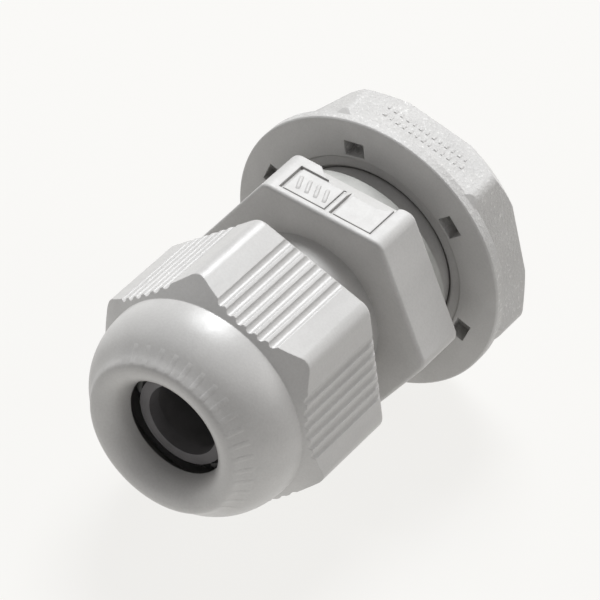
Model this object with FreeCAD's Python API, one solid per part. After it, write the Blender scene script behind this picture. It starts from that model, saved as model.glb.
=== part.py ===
"""PG 9 cable gland in light grey polyamide, as loose, separate pieces.

The pieces are turned about a local Z axis that points out of the domed cap nut, and
to_frame() lays that axis along -Y. t is the distance from the panel face towards the dome,
so the entry thread lies at negative t. All lengths are millimetres.
"""
import FreeCAD, Part
import math
import os
from FreeCAD import Vector

# ---- driving dimensions -------------------------------------------------------------------
WRENCH_SIZE = 19.0            # across the flats of the body and of the cap nut
LOCK_NUT_SIZE = 22.0          # across the flats of the lock nut
ENTRY_THREAD_R = 7.6          # PG 9: 15.2 mm outside diameter
ENTRY_ROOT_R = 6.93
ENTRY_PITCH = 25.4 / 18       # PG 9: 18 threads per inch
CAP_THREAD_R = 7.5            # thread between the body and the cap nut
CAP_ROOT_R = 6.85
CAP_PITCH = 1.5
THREAD_CREST = 0.15           # width of a thread's flat crest
THREAD_FLANK = math.radians(40)  # half of the 80 degree conduit thread form
THREAD_PLAY = 0.12            # radial play between a thread and its nut
RUNNING_FIT = 0.05

# stations along the axis, measured from the panel face
GASKET_TOP = 1.33
HEX_BACK = 1.35
HEX_FRONT = 6.2
NECK_TOP = 8.6
BODY_FRONT = 16.0
THREAD_END = -8.0
LOCK_FACE = -1.9
LOCK_BACK = -7.45
CAP_BACK = 10.55
CAP_FLAT_END = 20.35
DOME_TOP = 26.0

# gland body
NECK_R = 6.54
CABLE_BORE_R = 4.6
SEAL_POCKET_R = 5.0
SEAL_SEAT = 9.3
RING_POCKET_R = 6.05
RING_SEAT = 13.0
BODY_CORNER_FILLET = 1.0
BODY_EDGE_FILLET = 0.3
ENTRY_THREAD_START = LOCK_FACE - 0.4
BORE_CHAMFER = 0.5

# label panel on the upper flat
PANEL_DEPTH = 0.15
PANEL_LOW = 2.5
PANEL_OPEN = 1.7              # the right half runs out into the scoop
PANEL_HIGH = 5.6
PANEL_LEFT = -4.35
PANEL_SPLIT = 0.15
PANEL_RIGHT = 4.25
PANEL_RIB = 0.35
PANEL_GROOVE = 0.25           # width of the groove round each half
PANEL_GROOVE_DEPTH = 0.27
SCOOP_CENTRE = 0.7             # sloping scoop in the same flat's rear edge
SCOOP_R = 5.4
SCOOP_FRONT = 3.1
SCOOP_DEPTH = 0.6

# gasket and lock nut
GASKET_R = 8.75
GASKET_EDGE = 0.15
RIM_R = 12.31
RIM_THICKNESS = 0.8
RIM_EDGE = 0.12
LOCK_CORNER_FILLET = 1.0
LOCK_CHAMFER_R = 11.4
LOCK_CHAMFER = 1.5
LOCK_FLARE = 0.9              # length over which the corners grow out of the round rim
FACE_RECESS_R = 8.69
FACE_RECESS = 0.15
LOCK_MOUTH_CHAMFER = 0.2
POCKETS = 6
POCKET_INNER_R = 9.05
POCKET_OUTER_R = 10.35
POCKET_WIDTH = 1.8
POCKET_DEPTH = 1.3
POCKET_ANGLE = 104.1
LOCK_FLAT_ANGLE = 80.1

# cap nut
CAP_FLAT_ANGLE = 74.3
CAP_CORNER_FILLET = 1.3
CAP_RIM_FILLET = 0.35
CAP_SHOULDER = 1.75           # length of the cone that cuts the front corners
CAP_MOUTH_CHAMFER = 0.3
DOME_R = 9.1
DOME_WALL_END = 20.4
DOME_ROOT = 2.0               # how far the dome's wall runs down inside the hexagon
MOUTH_R = 4.4
LIP_WIDTH = 1.75              # the lip is a quarter of an ellipse, turned about the axis
LIP_HEIGHT = 2.2
CAP_BORE_END = 20.9
CONE_TOP_R = 7.2
CONE_KNEE_R = 5.5
CONE_KNEE = 22.9
LAND_START = 23.7
GROOVES = 6
GROOVE_PITCH = 1.02
GROOVE_R = 0.45
GROOVE_DEPTH = 0.19
CAP_THREAD_TOP = 17.4

# clamping insert
FINGERS = 14
FIRST_FINGER_ANGLE = -102.5
RING_INNER_R = 4.97
RING_OUTER_R = 6.0
RING_TOP = 16.6
COLLAR_R = 6.75
FINGER_INNER_R = 5.1
FINGER_OUTER_R = 5.8
FINGER_PIVOT = 17.1
FINGER_LENGTH = 5.1
FINGER_ROOT_WIDTH = 1.95
FINGER_TIP_WIDTH = 1.3
FINGER_TIP_CHAMFER = 0.4
FINGER_REST_ANGLE = 7.0

# sealing bush
SEAL_BACK = 11.4
SEAL_FRONT = 23.1
SEAL_OUTER_R = 4.9
SEAL_BORE_R = 4.0
SEAL_LIP_R = 3.1
SEAL_LIP_OUTER_R = 3.97
SEAL_TAPER_START = 16.0
SEAL_TAPER_MID = 18.4
SEAL_TAPER_MID_R = 4.5
SEAL_BORE_TAPER = 18.4
SEAL_LIP_LENGTH = 1.2

OVERLAP = 0.2                 # how far helper solids run past a face they cut


# ---- helpers ------------------------------------------------------------------------------
def to_frame(shape):
    """Lay the local Z axis along -Y, with local Y pointing up."""
    turned = shape.copy()
    turned.rotate(Vector(0, 0, 0), Vector(1, 0, 0), 90)
    return turned


def save(shape, node):
    """Write one piece as one STEP file."""
    to_frame(shape).exportStep("parts/" + node + ".step")
    print(node, round(shape.Volume, 3), len(shape.Solids), shape.isValid())


def revolved(outline):
    """Turn a closed outline of (radius, t) points about the axis."""
    points = [Vector(r, 0, t) for r, t in outline]
    wire = Part.makePolygon(points + points[:1])
    return Part.Face(wire).revolve(Vector(0, 0, 0), Vector(0, 0, 1), 360)


def disc(radius, low, high):
    """A plain cylinder between two stations."""
    return Part.makeCylinder(radius, high - low, Vector(0, 0, low))


def hexagon(size, low, high, flat_angle, fillet):
    """A hexagonal prism with rounded corners and one flat facing flat_angle."""
    corner_r = size / 2 / math.cos(math.pi / 6)
    angles = [math.radians(flat_angle + 30 + 60 * i) for i in range(6)]
    points = [Vector(corner_r * math.cos(a), corner_r * math.sin(a), low) for a in angles]
    prism = Part.Face(Part.makePolygon(points + points[:1])).extrude(Vector(0, 0, high - low))
    upright = [e for e in prism.Edges if abs(e.tangentAt(e.FirstParameter).z) > 0.9]
    return prism.makeFillet(fillet, upright)


def turned_block(x_size, y_size, low, high, centre_r, angle):
    """A box whose middle lies centre_r from the axis, turned to an angle about it."""
    block = Part.makeBox(x_size, y_size, high - low, Vector(centre_r - x_size / 2, -y_size / 2, low))
    block.rotate(Vector(0, 0, 0), Vector(0, 0, 1), angle)
    return block


def thread_ridge(root_r, crest_r, pitch, low, high, datum):
    """A helical ridge between two stations, pointing out or in, with tapered ends.

    datum is a station where the ridge crosses angle zero; a nut's is half a pitch off its screw's.
    """
    outward = 1 if crest_r > root_r else -1
    depth = abs(crest_r - root_r)
    half_crest = THREAD_CREST / 2
    half_base = half_crest + depth * math.tan(THREAD_FLANK)
    buried_r = root_r - outward * OVERLAP
    start = datum - pitch * (math.ceil((datum - low) / pitch) + 1)
    outline = [(buried_r, -half_base), (root_r, -half_base), (crest_r, -half_crest),
               (crest_r, half_crest), (root_r, half_base), (buried_r, half_base)]
    points = [Vector(r, 0, start + z) for r, z in outline]
    profile = Part.makePolygon(points + points[:1])
    helix = Part.makeLongHelix(pitch, high + pitch - start, root_r)
    helix.translate(Vector(0, 0, start))
    ridge = Part.Wire(helix.Edges).makePipeShell([profile], True, True)
    far_r = crest_r + outward * OVERLAP
    inner_r = buried_r - outward * OVERLAP
    taper = abs(far_r - root_r)
    clip = revolved([(inner_r, low), (root_r, low), (far_r, low + taper),
                     (far_r, high - taper), (root_r, high), (inner_r, high)])
    return ridge.common(clip)


# ---- gland body ---------------------------------------------------------------------------
def body_hexagon():
    """The hexagon between the two threads, with its label panel on the upper flat."""
    block = hexagon(WRENCH_SIZE, HEX_BACK, HEX_FRONT, 90, BODY_CORNER_FILLET)
    rims = [e for e in block.Edges if abs(e.BoundBox.ZLength) < 1e-6]
    block = block.makeFillet(BODY_EDGE_FILLET, rims)
    apothem = WRENCH_SIZE / 2
    rib_left = PANEL_SPLIT - PANEL_RIB / 2
    rib_right = PANEL_SPLIT + PANEL_RIB / 2
    for left, right, low in ((PANEL_LEFT, rib_left, PANEL_LOW), (rib_right, PANEL_RIGHT, PANEL_OPEN)):
        pocket = Part.makeBox(right - left, PANEL_GROOVE_DEPTH + OVERLAP, PANEL_HIGH - low,
                              Vector(left, apothem - PANEL_GROOVE_DEPTH, low))
        plate = Part.makeBox(right - left - 2 * PANEL_GROOVE, PANEL_GROOVE_DEPTH - PANEL_DEPTH,
                             PANEL_HIGH - PANEL_GROOVE - low,
                             Vector(left + PANEL_GROOVE, apothem - PANEL_GROOVE_DEPTH, low))
        block = block.cut(pocket.cut(plate))
    scoop_floor = apothem - SCOOP_DEPTH
    wedge = [Vector(SCOOP_CENTRE - SCOOP_R, y, t)
             for y, t in ((scoop_floor, HEX_BACK - OVERLAP), (scoop_floor, HEX_BACK), (apothem, SCOOP_FRONT),
                          (apothem + OVERLAP, SCOOP_FRONT), (apothem + OVERLAP, HEX_BACK - OVERLAP))]
    slope = Part.Face(Part.makePolygon(wedge + wedge[:1])).extrude(Vector(2 * SCOOP_R, 0, 0))
    round_end = Part.makeCylinder(SCOOP_R, SCOOP_DEPTH + 2 * OVERLAP,
                                  Vector(SCOOP_CENTRE, scoop_floor - OVERLAP, SCOOP_FRONT - SCOOP_R),
                                  Vector(0, 1, 0))
    return block.cut(slope.common(round_end))


def gland_body():
    """Hexagon, entry thread behind it and cap thread in front, bored through."""
    shank = disc(ENTRY_THREAD_R, ENTRY_THREAD_START, HEX_BACK)
    entry_core = disc(ENTRY_ROOT_R, THREAD_END, ENTRY_THREAD_START)
    entry_thread = thread_ridge(ENTRY_ROOT_R, ENTRY_THREAD_R, ENTRY_PITCH,
                                THREAD_END, ENTRY_THREAD_START + OVERLAP, THREAD_END)
    neck = disc(NECK_R, HEX_FRONT, NECK_TOP)
    cap_core = disc(CAP_ROOT_R, NECK_TOP, BODY_FRONT)
    cap_thread = thread_ridge(CAP_ROOT_R, CAP_THREAD_R, CAP_PITCH, NECK_TOP, BODY_FRONT, NECK_TOP)
    solid = body_hexagon().fuse([shank, entry_core, entry_thread, neck, cap_core, cap_thread])
    bore = revolved([(0, THREAD_END - OVERLAP), (CABLE_BORE_R + BORE_CHAMFER + OVERLAP, THREAD_END - OVERLAP),
                     (CABLE_BORE_R, THREAD_END + BORE_CHAMFER), (CABLE_BORE_R, SEAL_SEAT),
                     (SEAL_POCKET_R, SEAL_SEAT), (SEAL_POCKET_R, RING_SEAT), (RING_POCKET_R, RING_SEAT),
                     (RING_POCKET_R, BODY_FRONT + OVERLAP), (0, BODY_FRONT + OVERLAP)])
    return solid.cut(bore).removeSplitter()


# ---- entry side ---------------------------------------------------------------------------
def flat_gasket():
    """The flat ring that is squeezed between the hexagon and the panel."""
    return revolved([(ENTRY_THREAD_R + RUNNING_FIT, 0), (GASKET_R - GASKET_EDGE, 0), (GASKET_R, GASKET_EDGE),
                     (GASKET_R, GASKET_TOP - GASKET_EDGE), (GASKET_R - GASKET_EDGE, GASKET_TOP),
                     (ENTRY_THREAD_R + RUNNING_FIT, GASKET_TOP)])


def lock_nut():
    """Hexagonal nut with a round rim on the panel side and six square pockets in its face."""
    rim_back = LOCK_FACE - RIM_THICKNESS
    root_r = ENTRY_THREAD_R + THREAD_PLAY
    crest_r = ENTRY_ROOT_R + THREAD_PLAY
    rim = revolved([(0, rim_back - OVERLAP), (RIM_R, rim_back - OVERLAP), (RIM_R, LOCK_FACE - RIM_EDGE),
                    (RIM_R - RIM_EDGE, LOCK_FACE), (0, LOCK_FACE)])
    corner_r = LOCK_NUT_SIZE / 2 / math.cos(math.pi / 6)
    envelope = revolved([(0, LOCK_BACK), (LOCK_CHAMFER_R, LOCK_BACK), (corner_r, LOCK_BACK + LOCK_CHAMFER),
                         (corner_r, rim_back - LOCK_FLARE), (RIM_R, rim_back), (0, rim_back)])
    block = hexagon(LOCK_NUT_SIZE, LOCK_BACK, rim_back, LOCK_FLAT_ANGLE, LOCK_CORNER_FILLET)
    solid = rim.fuse(block.common(envelope))
    mouth_r = root_r + LOCK_MOUTH_CHAMFER
    thread_low = LOCK_BACK + LOCK_MOUTH_CHAMFER
    thread_high = LOCK_FACE - FACE_RECESS - LOCK_MOUTH_CHAMFER
    recess_floor = LOCK_FACE - FACE_RECESS
    recess_rim_r = FACE_RECESS_R + FACE_RECESS
    bore = revolved([(0, LOCK_BACK - OVERLAP), (mouth_r + OVERLAP, LOCK_BACK - OVERLAP), (root_r, thread_low),
                     (root_r, thread_high), (mouth_r, recess_floor), (FACE_RECESS_R, recess_floor),
                     (recess_rim_r, LOCK_FACE), (recess_rim_r, LOCK_FACE + OVERLAP),
                     (0, LOCK_FACE + OVERLAP)])
    solid = solid.cut(bore)
    middle_r = (POCKET_INNER_R + POCKET_OUTER_R) / 2
    for i in range(POCKETS):
        pocket = turned_block(POCKET_OUTER_R - POCKET_INNER_R, POCKET_WIDTH, LOCK_FACE - POCKET_DEPTH,
                              LOCK_FACE + OVERLAP, middle_r, POCKET_ANGLE + 360 / POCKETS * i)
        solid = solid.cut(pocket)
    thread = thread_ridge(root_r, crest_r, ENTRY_PITCH, thread_low, thread_high, THREAD_END + ENTRY_PITCH / 2)
    return solid.fuse(thread).removeSplitter()


# ---- clamping insert ----------------------------------------------------------------------
def clamping_ring():
    """The ring that the fingers stand on; its collar rests on the body's front end."""
    return revolved([(RING_INNER_R, RING_SEAT), (RING_OUTER_R, RING_SEAT), (RING_OUTER_R, BODY_FRONT),
                     (COLLAR_R, BODY_FRONT), (COLLAR_R, RING_TOP), (RING_INNER_R, RING_TOP)])


def clamping_finger(angle):
    """One finger, bent in by the cap nut's cone about its root; angle is its place round the axis."""
    middle_r = (FINGER_INNER_R + FINGER_OUTER_R) / 2
    root_r = (FINGER_OUTER_R - FINGER_INNER_R) / 2
    tip = FINGER_PIVOT + FINGER_LENGTH
    wall = revolved([(FINGER_INNER_R, FINGER_PIVOT), (FINGER_OUTER_R, FINGER_PIVOT),
                     (FINGER_OUTER_R, tip - FINGER_TIP_CHAMFER), (FINGER_OUTER_R - FINGER_TIP_CHAMFER, tip),
                     (FINGER_INNER_R, tip)])
    half_root = FINGER_ROOT_WIDTH / 2
    half_tip = FINGER_TIP_WIDTH / 2
    blank_edge = FINGER_INNER_R - OVERLAP
    blank_depth = FINGER_OUTER_R - FINGER_INNER_R + 2 * OVERLAP
    corners = [Vector(blank_edge, -half_root, FINGER_PIVOT), Vector(blank_edge, half_root, FINGER_PIVOT),
               Vector(blank_edge, half_tip, tip), Vector(blank_edge, -half_tip, tip)]
    blank = Part.Face(Part.makePolygon(corners + corners[:1])).extrude(Vector(blank_depth, 0, 0))
    root = Part.makeCylinder(root_r, FINGER_ROOT_WIDTH,
                             Vector(middle_r, -half_root, FINGER_PIVOT), Vector(0, 1, 0))
    lower_half = Part.makeBox(2 * root_r, FINGER_ROOT_WIDTH, root_r,
                              Vector(middle_r - root_r, -half_root, FINGER_PIVOT - root_r))
    trimmed_wall = wall.common(blank)
    finger = trimmed_wall.fuse(root.common(lower_half))
    finger.rotate(Vector(middle_r, 0, FINGER_PIVOT), Vector(0, 1, 0), -FINGER_REST_ANGLE)
    finger.rotate(Vector(0, 0, 0), Vector(0, 0, 1), angle)
    return finger.removeSplitter()


# ---- sealing bush -------------------------------------------------------------------------
def sealing_bush():
    """Rubber bush inside the fingers, narrowing to a soft lip at its front."""
    return revolved([(SEAL_BORE_R, SEAL_BACK), (SEAL_OUTER_R, SEAL_BACK), (SEAL_OUTER_R, SEAL_TAPER_START),
                     (SEAL_TAPER_MID_R, SEAL_TAPER_MID), (SEAL_LIP_OUTER_R, SEAL_FRONT),
                     (SEAL_LIP_R, SEAL_FRONT), (SEAL_LIP_R, SEAL_FRONT - SEAL_LIP_LENGTH),
                     (SEAL_BORE_R, SEAL_BORE_TAPER)])


# ---- cap nut ------------------------------------------------------------------------------
def dome():
    """The domed front of the cap nut as a solid of revolution, with a rounded lip."""
    lip_centre_r = MOUTH_R + LIP_WIDTH
    lip_start = DOME_TOP - LIP_HEIGHT
    span = DOME_R - lip_centre_r
    rise = DOME_TOP - DOME_WALL_END
    crown = [Vector(DOME_R - span * inward, 0, DOME_WALL_END + rise * up)
             for inward, up in ((0, 0), (0.115, 0.42), (0.42, 0.715), (0.73, 0.9), (1, 1))]
    curve = Part.BSplineCurve()
    curve.interpolate(crown, InitialTangent=Vector(0, 0, 1), FinalTangent=Vector(-1, 0, 0))
    ellipse = Part.Ellipse(crown[-1], Vector(MOUTH_R, 0, lip_start), Vector(lip_centre_r, 0, lip_start))
    lip = Part.ArcOfEllipse(ellipse, 0, math.pi / 2)
    low = CAP_FLAT_END - DOME_ROOT
    edges = [Part.makeLine(Vector(0, 0, low), Vector(DOME_R, 0, low)),
             Part.makeLine(Vector(DOME_R, 0, low), crown[0]), curve.toShape(), lip.toShape(),
             Part.makeLine(Vector(MOUTH_R, 0, lip_start), Vector(0, 0, lip_start)),
             Part.makeLine(Vector(0, 0, lip_start), Vector(0, 0, low))]
    return Part.Face(Part.Wire(edges)).revolve(Vector(0, 0, 0), Vector(0, 0, 1), 360)


def cap_hexagon():
    """The grooved hexagon of the cap nut, with a rounded rear rim and coned front corners."""
    block = hexagon(WRENCH_SIZE, CAP_BACK, CAP_FLAT_END, CAP_FLAT_ANGLE, CAP_CORNER_FILLET)
    rear_rim = [e for e in block.Edges if e.BoundBox.ZMax < CAP_BACK + OVERLAP]
    block = block.makeFillet(CAP_RIM_FILLET, rear_rim)
    apothem = WRENCH_SIZE / 2
    corner_r = apothem / math.cos(math.pi / 6)
    envelope = revolved([(0, CAP_BACK - OVERLAP), (corner_r, CAP_BACK - OVERLAP),
                         (corner_r, CAP_FLAT_END - CAP_SHOULDER), (DOME_R, CAP_FLAT_END), (0, CAP_FLAT_END)])
    block = block.common(envelope)
    for flat in range(6):
        for i in range(GROOVES):
            offset = (i - (GROOVES - 1) / 2) * GROOVE_PITCH
            groove = Part.makeCylinder(GROOVE_R, CAP_FLAT_END - CAP_BACK + 2 * OVERLAP,
                                       Vector(apothem - GROOVE_DEPTH + GROOVE_R, offset, CAP_BACK - OVERLAP))
            groove.rotate(Vector(0, 0, 0), Vector(0, 0, 1), CAP_FLAT_ANGLE + 60 * flat)
            block = block.cut(groove)
    return block


def cap_nut():
    """Cap nut: grooved hexagon, dome, inner cone and its own thread."""
    root_r = CAP_THREAD_R + THREAD_PLAY
    crest_r = CAP_ROOT_R + THREAD_PLAY
    solid = cap_hexagon().fuse(dome())
    thread_low = CAP_BACK + CAP_MOUTH_CHAMFER
    cavity = revolved([(0, CAP_BACK - OVERLAP), (root_r + CAP_MOUTH_CHAMFER + OVERLAP, CAP_BACK - OVERLAP),
                       (root_r, thread_low), (root_r, CAP_BORE_END), (CONE_TOP_R, CAP_BORE_END + OVERLAP),
                       (CONE_KNEE_R, CONE_KNEE), (MOUTH_R, LAND_START), (MOUTH_R, DOME_TOP + OVERLAP),
                       (0, DOME_TOP + OVERLAP)])
    solid = solid.cut(cavity)
    thread = thread_ridge(root_r, crest_r, CAP_PITCH, thread_low, CAP_THREAD_TOP, NECK_TOP + CAP_PITCH / 2)
    return solid.fuse(thread).removeSplitter()


# ---- the set of pieces --------------------------------------------------------------------
os.makedirs("parts", exist_ok=True)
save(gland_body(), "gland_body")
save(flat_gasket(), "flat_gasket")
save(lock_nut(), "lock_nut")
save(clamping_ring(), "clamping_ring")
for number in range(FINGERS):
    save(clamping_finger(FIRST_FINGER_ANGLE + 360 / FINGERS * number), "clamping_finger_%02d" % (number + 1))
save(sealing_bush(), "sealing_bush")
save(cap_nut(), "cap_nut")
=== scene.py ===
"""Looks of the cable gland: materials, small moulded details, floor, light and camera.

The axis runs along Y with the dome towards -Y; everything is in metres in the row frame.
"""
import bpy
import bmesh
import math
from mathutils import Matrix, Vector
from mathutils.bvhtree import BVHTree


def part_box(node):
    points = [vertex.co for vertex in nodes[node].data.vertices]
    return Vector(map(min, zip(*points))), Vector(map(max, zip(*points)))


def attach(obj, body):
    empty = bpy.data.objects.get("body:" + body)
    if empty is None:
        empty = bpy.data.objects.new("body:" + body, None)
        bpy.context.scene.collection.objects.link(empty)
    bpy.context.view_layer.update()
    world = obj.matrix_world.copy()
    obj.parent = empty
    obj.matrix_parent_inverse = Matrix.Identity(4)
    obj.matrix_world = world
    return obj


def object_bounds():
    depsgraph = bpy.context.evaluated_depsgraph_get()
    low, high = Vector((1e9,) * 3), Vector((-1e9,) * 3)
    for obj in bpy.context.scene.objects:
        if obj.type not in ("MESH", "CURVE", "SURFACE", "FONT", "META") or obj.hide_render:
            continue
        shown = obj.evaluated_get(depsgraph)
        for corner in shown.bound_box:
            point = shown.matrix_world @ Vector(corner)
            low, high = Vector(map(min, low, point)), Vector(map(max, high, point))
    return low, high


MM = 0.001
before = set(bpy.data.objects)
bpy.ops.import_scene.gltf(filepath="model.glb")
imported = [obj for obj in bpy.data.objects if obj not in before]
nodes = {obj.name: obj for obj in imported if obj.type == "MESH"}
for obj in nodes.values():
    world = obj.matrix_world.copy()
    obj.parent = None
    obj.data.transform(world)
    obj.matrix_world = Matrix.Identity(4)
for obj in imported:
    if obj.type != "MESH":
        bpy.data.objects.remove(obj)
cad_low, cad_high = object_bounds()
scene = bpy.context.scene


# ---- material helpers ---------------------------------------------------------------------
# A Mix node holds one set of sockets for each data type; these are the colour ones.
MIX_INPUTS = (0, 6, 7)
MIX_OUTPUT = 2
SHADER_SAMPLES = 6


class Graph:
    """A material's node tree, with short calls to add and link nodes."""

    def __init__(self, name):
        self.material = bpy.data.materials.new(name)
        self.material.use_nodes = True
        self.tree = self.material.node_tree
        self.tree.nodes.clear()
        self.output = self.add("ShaderNodeOutputMaterial")
        self.shader = self.add("ShaderNodeBsdfPrincipled")
        self.link(self.shader.outputs["BSDF"], self.output.inputs["Surface"])
        self.place = self.add("ShaderNodeTexCoord").outputs

    def add(self, kind, **settings):
        node = self.tree.nodes.new(kind)
        for key, value in settings.items():
            setattr(node, key, value)
        return node

    def link(self, source, target):
        self.tree.links.new(source, target)

    def noise(self, scale, detail, rough, squeeze=None):
        """Noise in the piece's own coordinates, scale in features per metre."""
        texture = self.add("ShaderNodeTexNoise")
        texture.inputs["Scale"].default_value = scale
        texture.inputs["Detail"].default_value = detail
        texture.inputs["Roughness"].default_value = rough
        source = self.place["Object"]
        if squeeze:
            mapping = self.add("ShaderNodeMapping")
            mapping.inputs["Scale"].default_value = squeeze
            self.link(source, mapping.inputs["Vector"])
            source = mapping.outputs["Vector"]
        self.link(source, texture.inputs["Vector"])
        return texture.outputs["Fac"]

    def ramp(self, source, stops):
        """Map a value through (position, value or colour) stops."""
        node = self.add("ShaderNodeValToRGB")
        elements = node.color_ramp.elements
        while len(elements) < len(stops):
            elements.new(0.5)
        for element, (position, value) in zip(elements, stops):
            element.position = position
            element.color = (value, value, value, 1) if isinstance(value, float) else (*value, 1)
        self.link(source, node.inputs["Fac"])
        return node.outputs["Color"]

    def maths(self, operation, first, second):
        """One Math node; each operand is a number or a socket."""
        node = self.add("ShaderNodeMath", operation=operation)
        for socket, value in zip(node.inputs, (first, second)):
            if isinstance(value, (int, float)):
                socket.default_value = value
            else:
                self.link(value, socket)
        return node.outputs["Value"]

    def mix(self, factor, first, second, blend="MIX"):
        """One colour Mix node; each operand is a number, a colour or a socket."""
        node = self.add("ShaderNodeMix", data_type="RGBA", blend_type=blend)
        for index, value in zip(MIX_INPUTS, (factor, first, second)):
            socket = node.inputs[index]
            if hasattr(value, "is_linked"):
                self.link(value, socket)
            elif isinstance(value, (int, float)):
                socket.default_value = value
            else:
                socket.default_value = (*value, 1)
        return node.outputs[MIX_OUTPUT]

    def soft_edges(self, radius):
        """A normal that rounds the edges of the surface it shades."""
        node = self.add("ShaderNodeBevel")
        node.samples = SHADER_SAMPLES
        node.inputs["Radius"].default_value = radius
        return node.outputs["Normal"]

    def bump(self, height, distance, strength, below=None):
        node = self.add("ShaderNodeBump")
        node.inputs["Strength"].default_value = strength
        node.inputs["Distance"].default_value = distance
        self.link(height, node.inputs["Height"])
        if below:
            self.link(below, node.inputs["Normal"])
        return node.outputs["Normal"]


WAVE_DEPTH = 0.03 * MM
GRAIN_DEPTH = 0.006 * MM
SPARK_DEPTH = 0.09 * MM
RUBBER_GRAIN = 0.008 * MM
EDGE_RADIUS = 0.14 * MM
PAINTED_SHADE_REACH = 1.2 * MM
CLOUD_DARK, CLOUD_LIGHT = 0.94, 1.045
SPECK_SHARE = 0.10
POLYAMIDE_IOR = 1.5
MATT_ROUGH = (0.42, 0.56)
# The melt's clouds are drawn out along the axis of the body and the cap nut.
MELT_FLOW = (1, 0.35, 1)


def moulded_plastic(name, tint, rough_low, rough_high, flow=(1, 1, 1)):
    """Satin moulded polyamide: cloudy tone, fine grain, soft waviness, painted shade darkening the
    hollows.
    """
    g = Graph(name)
    cloud = g.noise(260, 3.0, 0.5, flow)
    speck = g.noise(5200, 2.0, 0.6)
    light = tuple(min(1.0, c * CLOUD_LIGHT) for c in tint)
    dark = tuple(c * CLOUD_DARK for c in tint)
    tone = g.ramp(cloud, [(0.32, dark), (0.68, light)])
    tone = g.mix(SPECK_SHARE, tone, g.ramp(speck, [(0.35, 0.45), (0.65, 0.75)]))
    # Painted shade: ambient occlusion darkens the base colour in hollows, creases and between parts.
    painted_hollow_shade = g.add("ShaderNodeAmbientOcclusion")
    painted_hollow_shade.samples = SHADER_SAMPLES
    painted_hollow_shade.inputs["Distance"].default_value = PAINTED_SHADE_REACH
    shade = g.ramp(painted_hollow_shade.outputs["AO"], [(0.25, 0.90), (0.85, 1.0)])
    tone = g.mix(1.0, tone, shade, "MULTIPLY")
    g.link(tone, g.shader.inputs["Base Color"])
    rough = g.ramp(g.noise(900, 4.0, 0.6), [(0.3, rough_low), (0.7, rough_high)])
    g.link(rough, g.shader.inputs["Roughness"])
    wave = g.bump(g.noise(520, 2.0, 0.5, flow), WAVE_DEPTH, 0.5, g.soft_edges(EDGE_RADIUS))
    grain = g.bump(speck, GRAIN_DEPTH, 1.0, wave)
    g.link(grain, g.shader.inputs["Normal"])
    g.shader.inputs["IOR"].default_value = POLYAMIDE_IOR
    return g


def grained_plastic(name, tint):
    """The lock nut: smooth faces across the axis, spark-eroded grain on the outer flats, with painted
    glints on the grain's peaks.
    """
    g = moulded_plastic(name, tint, *MATT_ROUGH)
    split = g.add("ShaderNodeSeparateXYZ")
    g.link(g.place["Normal"], split.inputs["Vector"])
    across = g.maths("ABSOLUTE", split.outputs["Y"], 0.0)
    outer = g.ramp(across, [(0.15, 1.0), (0.5, 0.0)])
    grit = g.noise(3400, 4.0, 0.7)
    height = g.maths("MULTIPLY", grit, outer)
    below = g.shader.inputs["Normal"].links[0].from_socket
    g.link(g.bump(height, SPARK_DEPTH, 1.0, below), g.shader.inputs["Normal"])
    # Painted glints: the grain's peaks on the outer flats are lightened in the base colour.
    painted_glint = g.ramp(grit, [(0.56, (0, 0, 0)), (0.70, (0.2, 0.2, 0.195))])
    painted_glint = g.mix(outer, (0.0, 0.0, 0.0), painted_glint)
    below = g.shader.inputs["Base Color"].links[0].from_socket
    g.link(g.mix(1.0, below, painted_glint, "ADD"), g.shader.inputs["Base Color"])
    return g


def soft_rubber(name, tint, rough_low, rough_high):
    """Moulded rubber: dull bloom over a fine matt grain."""
    g = Graph(name)
    bloom = g.noise(420, 4.0, 0.6)
    speck = g.noise(6000, 2.0, 0.5)
    light = tuple(min(1.0, c * 1.5 + 0.004) for c in tint)
    g.link(g.ramp(bloom, [(0.3, tint), (0.72, light)]), g.shader.inputs["Base Color"])
    g.link(g.ramp(bloom, [(0.3, rough_low), (0.7, rough_high)]), g.shader.inputs["Roughness"])
    wave = g.bump(bloom, WAVE_DEPTH, 0.5)
    g.link(g.bump(speck, RUBBER_GRAIN, 1.0, wave), g.shader.inputs["Normal"])
    return g


GREY = (0.50, 0.49, 0.475)
INSERT_GREY = (0.30, 0.30, 0.29)
GASKET_GREY = (0.32, 0.32, 0.305)
SEAL_BLACK = (0.12, 0.115, 0.117)
body_plastic = moulded_plastic("body_plastic", GREY, 0.46, 0.58, MELT_FLOW).material
cap_plastic = moulded_plastic("cap_plastic", GREY, 0.30, 0.42, MELT_FLOW).material
insert_plastic = moulded_plastic("insert_plastic", INSERT_GREY, *MATT_ROUGH).material
lock_plastic = grained_plastic("lock_nut_plastic", GREY).material
gasket_rubber = soft_rubber("gasket_rubber", GASKET_GREY, 0.55, 0.7).material
seal_rubber = soft_rubber("seal_rubber", SEAL_BLACK, 0.5, 0.68).material


def paint(node, material):
    """Give a CAD node its material, keeping its mesh as it is."""
    for slot in nodes[node].material_slots:
        slot.link = "OBJECT"
        slot.material = material


# The ring and its fingers take the insert's plastic.
own_material = {"gland_body": body_plastic, "cap_nut": cap_plastic, "lock_nut": lock_plastic,
                "flat_gasket": gasket_rubber, "sealing_bush": seal_rubber}
for node in nodes:
    paint(node, own_material.get(node, insert_plastic))


# ---- moulded marks, kept generic ----------------------------------------------------------
PAD_CELLS = 10
PAD_REACH = 2 * MM
# A pad's crown stands 1 height above the surface, and its rim is sunk by 0.3 of that height.
PAD_SINK = 0.3


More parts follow.
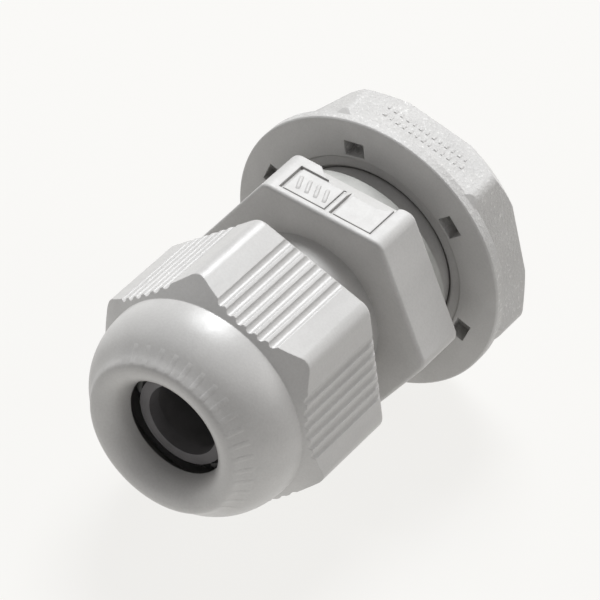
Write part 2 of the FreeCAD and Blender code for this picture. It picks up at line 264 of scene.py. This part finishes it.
def raised_pads(name, node, body, material, height, places):
    """Low cushion-shaped pads on a node's surface, as one mesh.

    Each place is (middle, half length vector, half width vector, outward direction).
    """
    mesh = bmesh.new()
    skin = BVHTree.FromPolygons([v.co for v in nodes[node].data.vertices],
                                [p.vertices for p in nodes[node].data.polygons])
    for middle, length, width, outward in places:
        rows = []
        for i in range(PAD_CELLS + 1):
            row = []
            for j in range(PAD_CELLS + 1):
                u, v = 2 * i / PAD_CELLS - 1, 2 * j / PAD_CELLS - 1
                above = middle + length * u + width * v + outward * PAD_REACH
                point, normal = skin.ray_cast(above, -outward)[:2]
                crown = (1 - u ** 6) * (1 - v ** 4)
                rise = height * (crown * (1 + PAD_SINK) - PAD_SINK)
                row.append(mesh.verts.new(point + normal * rise))
            rows.append(row)
        for i in range(PAD_CELLS):
            for j in range(PAD_CELLS):
                corners = (rows[i][j], rows[i + 1][j], rows[i + 1][j + 1], rows[i][j + 1])
                mesh.faces.new(corners).smooth = True
    bmesh.ops.recalc_face_normals(mesh, faces=mesh.faces[:])
    data = bpy.data.meshes.new(name)
    mesh.to_mesh(data)
    mesh.free()
    data.materials.append(material)
    piece = bpy.data.objects.new(name, data)
    scene.collection.objects.link(piece)
    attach(piece, body)


def radial(angle):
    """Unit vector across the axis; angle zero is +X and 90 degrees is +Z."""
    return Vector((math.cos(math.radians(angle)), 0, math.sin(math.radians(angle))))


AXIS = Vector((0, 1, 0))
UP = Vector((0, 0, 1))

# A ring of plain ticks on the dome, from low on the right over the top to the upper left.
TICKS, FIRST_TICK, TICK_STEP = 17, -32, 9.5
TICK_R = 7.15 * MM
TICK_HALF_LENGTH, TICK_HALF_WIDTH, TICK_HEIGHT = 0.62 * MM, 0.26 * MM, 0.03 * MM
cap_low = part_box("cap_nut")[0]
ticks = []
for i in range(TICKS):
    away = radial(FIRST_TICK + TICK_STEP * i)
    middle = away * TICK_R + AXIS * cap_low.y
    ticks.append((middle, away * TICK_HALF_LENGTH, away.cross(AXIS) * TICK_HALF_WIDTH, -AXIS))
raised_pads("dome_ticks", "cap_nut", "cap_nut", cap_plastic, TICK_HEIGHT, ticks)

# Slanted bars on the left half of the body's label panel.
BARS, BAR_STEP = 4, 0.82 * MM
BAR_HALF_LENGTH, BAR_HALF_WIDTH, BAR_HEIGHT = 0.85 * MM, 0.2 * MM, 0.11 * MM
PANEL_X, PANEL_Y = -2.2 * MM, -4.05 * MM
LEAN = Vector((0.35, -0.94, 0))
body_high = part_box("gland_body")[1]
bars = []
for i in range(BARS):
    middle = Vector((PANEL_X + (i - (BARS - 1) / 2) * BAR_STEP, PANEL_Y, body_high.z))
    bars.append((middle, LEAN * BAR_HALF_LENGTH, LEAN.cross(UP) * BAR_HALF_WIDTH, UP))
raised_pads("panel_bars", "gland_body", "gland_body", body_plastic, BAR_HEIGHT, bars)

# Two rows of dashes on the lock nut's upper flat, which faces FLAT_ANGLE and lies FLAT_R from the axis.
FLAT_ANGLE, FLAT_R = 80.1, 11.0 * MM
ROWS, ROW_STEP, FIRST_ROW = 2, 0.9 * MM, 1.6 * MM
DASHES, DASH_STEP = 13, 0.62 * MM
# The first dash lies 6.2 steps before the flat's middle, and the second row is 0.3 of a step on.
DASHES_BEFORE, ROW_STAGGER = 6.2, 0.3
DASH_HALF_LENGTH, DASH_HEIGHT = 0.27 * MM, 0.04 * MM
DASH_HALF_WIDTHS = (0.12 * MM, 0.19 * MM)
nut_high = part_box("lock_nut")[1]
flat = radial(FLAT_ANGLE)
along = AXIS.cross(flat)
dashes = []
for row in range(ROWS):
    for i in range(DASHES):
        shift = along * (i - DASHES_BEFORE + ROW_STAGGER * row) * DASH_STEP
        middle = flat * FLAT_R + shift + AXIS * (nut_high.y - FIRST_ROW - ROW_STEP * row)
        width = along * DASH_HALF_WIDTHS[(i + row) % 2]
        dashes.append((middle, AXIS * DASH_HALF_LENGTH, width, flat))
raised_pads("lock_nut_dashes", "lock_nut", "lock_nut", lock_plastic, DASH_HEIGHT, dashes)


# ---- floor, light and camera --------------------------------------------------------------
FLOOR_HALF = 1.6
FLOOR_GAP = 0.05 * MM
FLOOR_GLOW = 0.83
floor_z = cad_low.z - FLOOR_GAP
floor_mesh = bpy.data.meshes.new("floor")
floor_corners = [(-FLOOR_HALF, -FLOOR_HALF, floor_z), (FLOOR_HALF, -FLOOR_HALF, floor_z),
                 (FLOOR_HALF, FLOOR_HALF, floor_z), (-FLOOR_HALF, FLOOR_HALF, floor_z)]
floor_mesh.from_pydata(floor_corners, [], [(0, 1, 2, 3)])
floor = bpy.data.objects.new("floor", floor_mesh)
scene.collection.objects.link(floor)
floor_paint = Graph("floor_paint")
mottle = floor_paint.ramp(floor_paint.noise(6, 3.0, 0.5), [(0.3, 0.082), (0.7, 0.088)])
floor_paint.link(mottle, floor_paint.shader.inputs["Base Color"])
floor_paint.shader.inputs["Roughness"].default_value = 0.95
floor_paint.shader.inputs["Specular IOR Level"].default_value = 0.0
floor_paint.shader.inputs["Emission Color"].default_value = (1.0, 0.99, 0.965, 1)
floor_paint.shader.inputs["Emission Strength"].default_value = FLOOR_GLOW
floor.data.materials.append(floor_paint.material)

world = bpy.data.worlds.new("studio")
scene.world = world
world.use_nodes = True
background = world.node_tree.nodes["Background"]
background.inputs["Color"].default_value = (0.99, 0.985, 1.0, 1)
background.inputs["Strength"].default_value = 0.30


def direction(azimuth, elevation):
    """Unit vector from the object. Azimuth 0 is on the dome's side; both are in degrees."""
    a, e = math.radians(azimuth), math.radians(elevation)
    return Vector((math.sin(a) * math.cos(e), -math.cos(a) * math.cos(e), math.sin(e)))


def soft_light(name, azimuth, elevation, distance, size, power, tint):
    """A square area light aimed at the object's middle."""
    data = bpy.data.lights.new(name, "AREA")
    data.size = size
    data.energy = power
    data.color = tint
    lamp = bpy.data.objects.new(name, data)
    away = direction(azimuth, elevation)
    lamp.location = (cad_low + cad_high) / 2 + away * distance
    lamp.rotation_mode = "QUATERNION"
    lamp.rotation_quaternion = (-away).to_track_quat("-Z", "Y")
    scene.collection.objects.link(lamp)


LIGHT_DISTANCE = 0.5
soft_light("key", -150, 56, LIGHT_DISTANCE, 0.22, 3.2, (0.97, 0.985, 1.0))
soft_light("side", 118, 34, LIGHT_DISTANCE, 0.3, 0.42, (1.0, 0.98, 0.96))

# The camera that was fitted to the photograph, in degrees and metres, with its lens in millimetres.
AZIMUTH, ELEVATION, ROLL = 29.54, 42.35, math.radians(7.59)
DISTANCE = 351.16 * MM
AIM = Vector((0, -8.65 * MM, 0))
SHIFT_RIGHT, SHIFT_UP = 0.72 * MM, 1.65 * MM
SENSOR, LENS = 36, 270.9
CLIP_START, CLIP_END = 0.01, 20
back = direction(AZIMUTH, ELEVATION)
level = UP.cross(back).normalized()
upright = back.cross(level)
right = level * math.cos(ROLL) + upright * math.sin(ROLL)
up = upright * math.cos(ROLL) - level * math.sin(ROLL)
camera = bpy.data.objects.new("camera", bpy.data.cameras.new("camera"))
camera.data.sensor_width = SENSOR
camera.data.lens = LENS
camera.data.clip_start = CLIP_START
camera.data.clip_end = CLIP_END
pose = Matrix((right, up, back)).transposed().to_4x4()
pose.translation = AIM + back * DISTANCE + right * SHIFT_RIGHT + up * SHIFT_UP
camera.matrix_world = pose
scene.collection.objects.link(camera)
scene.camera = camera
scene.view_settings.view_transform = "Standard"
